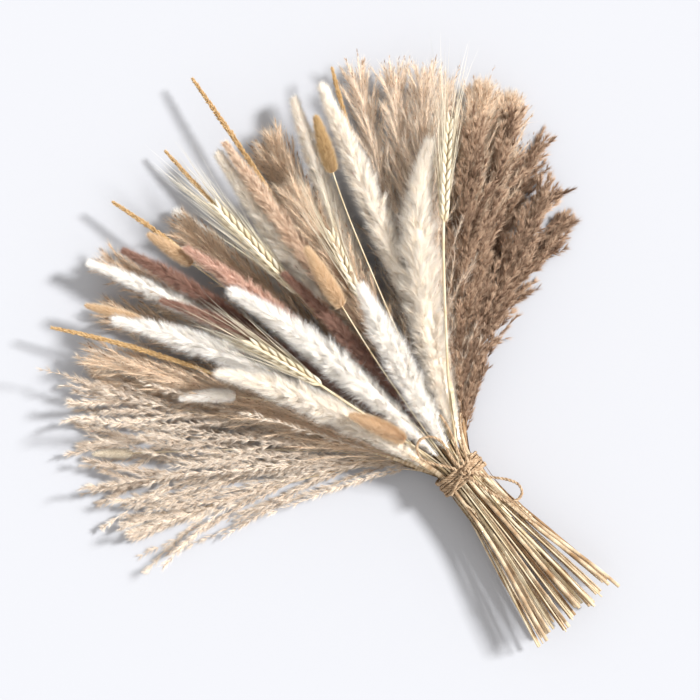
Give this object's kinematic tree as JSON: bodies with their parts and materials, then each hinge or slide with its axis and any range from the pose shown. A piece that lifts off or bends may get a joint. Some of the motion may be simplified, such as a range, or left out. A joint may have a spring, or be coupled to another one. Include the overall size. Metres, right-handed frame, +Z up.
{
  "type": "dried grass bouquet",
  "caption": "Flat-lying bunch of dried grasses with feathery, bristly and seeded heads fanned out from stems tied with a jute bow.",
  "frame": {"origin": "bottom centre of the bunch's box, on the surface it lies on", "axes": "+Y along the bunch from the tie to the heads, +Z up from the surface"},
  "size_m": [0.384, 0.4506, 0.0742],
  "materials": {
    "pampas_plume": "matt, long soft white hairs",
    "bunny_tail": "matt, short dense peach fur",
    "foxtail_millet": "matt, small golden grains",
    "mauve_plume": "matt, dyed dusty pink bristles",
    "barley": "satin straw",
    "fine_reed": "matt, fine hairs with brown seeds",
    "silver_grass": "silky grey-beige hairs",
    "brown_reed": "matt, brown seed husks",
    "jute_twine": "rough twisted fibre"
  },
  "bodies": {
    "root": {"brown_reed_1": "brown_reed", "brown_reed_2": "brown_reed", "brown_reed_3": "brown_reed", "brown_reed_4": "brown_reed", "brown_reed_5": "brown_reed", "bunny_tail_1": "bunny_tail", "bunny_tail_2": "bunny_tail", "bunny_tail_3": "bunny_tail", "bunny_tail_4": "bunny_tail", "bunny_tail_5": "bunny_tail", "bunny_tail_6": "bunny_tail", "bunny_tail_7": "bunny_tail", "fine_reed_back_1": "fine_reed", "fine_reed_back_2": "fine_reed", "fine_reed_back_3": "fine_reed", "fine_reed_back_4": "fine_reed", "fine_reed_left_1": "fine_reed", "fine_reed_left_2": "fine_reed", "fine_reed_mid_1": "fine_reed", "fine_reed_mid_2": "fine_reed", "fine_reed_right_1": "fine_reed", "fine_reed_right_2": "fine_reed", "fine_reed_top_1": "fine_reed", "fine_reed_top_2": "fine_reed", "fine_reed_top_3": "fine_reed", "fine_reed_top_4": "fine_reed", "foxtail_1": "foxtail_millet", "foxtail_2": "foxtail_millet", "foxtail_3": "foxtail_millet", "foxtail_4": "foxtail_millet", "foxtail_5": "foxtail_millet", "mauve_plume_1": "mauve_plume", "mauve_plume_2": "mauve_plume", "mauve_plume_3": "mauve_plume", "mauve_plume_4": "mauve_plume", "mauve_plume_5": "mauve_plume", "pampas_1": "pampas_plume", "pampas_10": "pampas_plume", "pampas_2": "pampas_plume", "pampas_3": "pampas_plume", "pampas_4": "pampas_plume", "pampas_5": "pampas_plume", "pampas_6": "pampas_plume", "pampas_7": "pampas_plume", "pampas_8": "pampas_plume", "pampas_9": "pampas_plume", "silver_grass_1": "silver_grass", "silver_grass_2": "silver_grass", "silver_grass_3": "silver_grass", "silver_grass_4": "silver_grass", "twine_knot": "jute_twine", "twine_loop_left": "jute_twine", "twine_loop_right": "jute_twine", "twine_tail_1": "jute_twine", "twine_tail_2": "jute_twine", "twine_wrap": "jute_twine", "wheat_1": "barley", "wheat_2": "barley", "wheat_3": "barley", "wheat_4": "barley"}
  },
  "joints": []
}
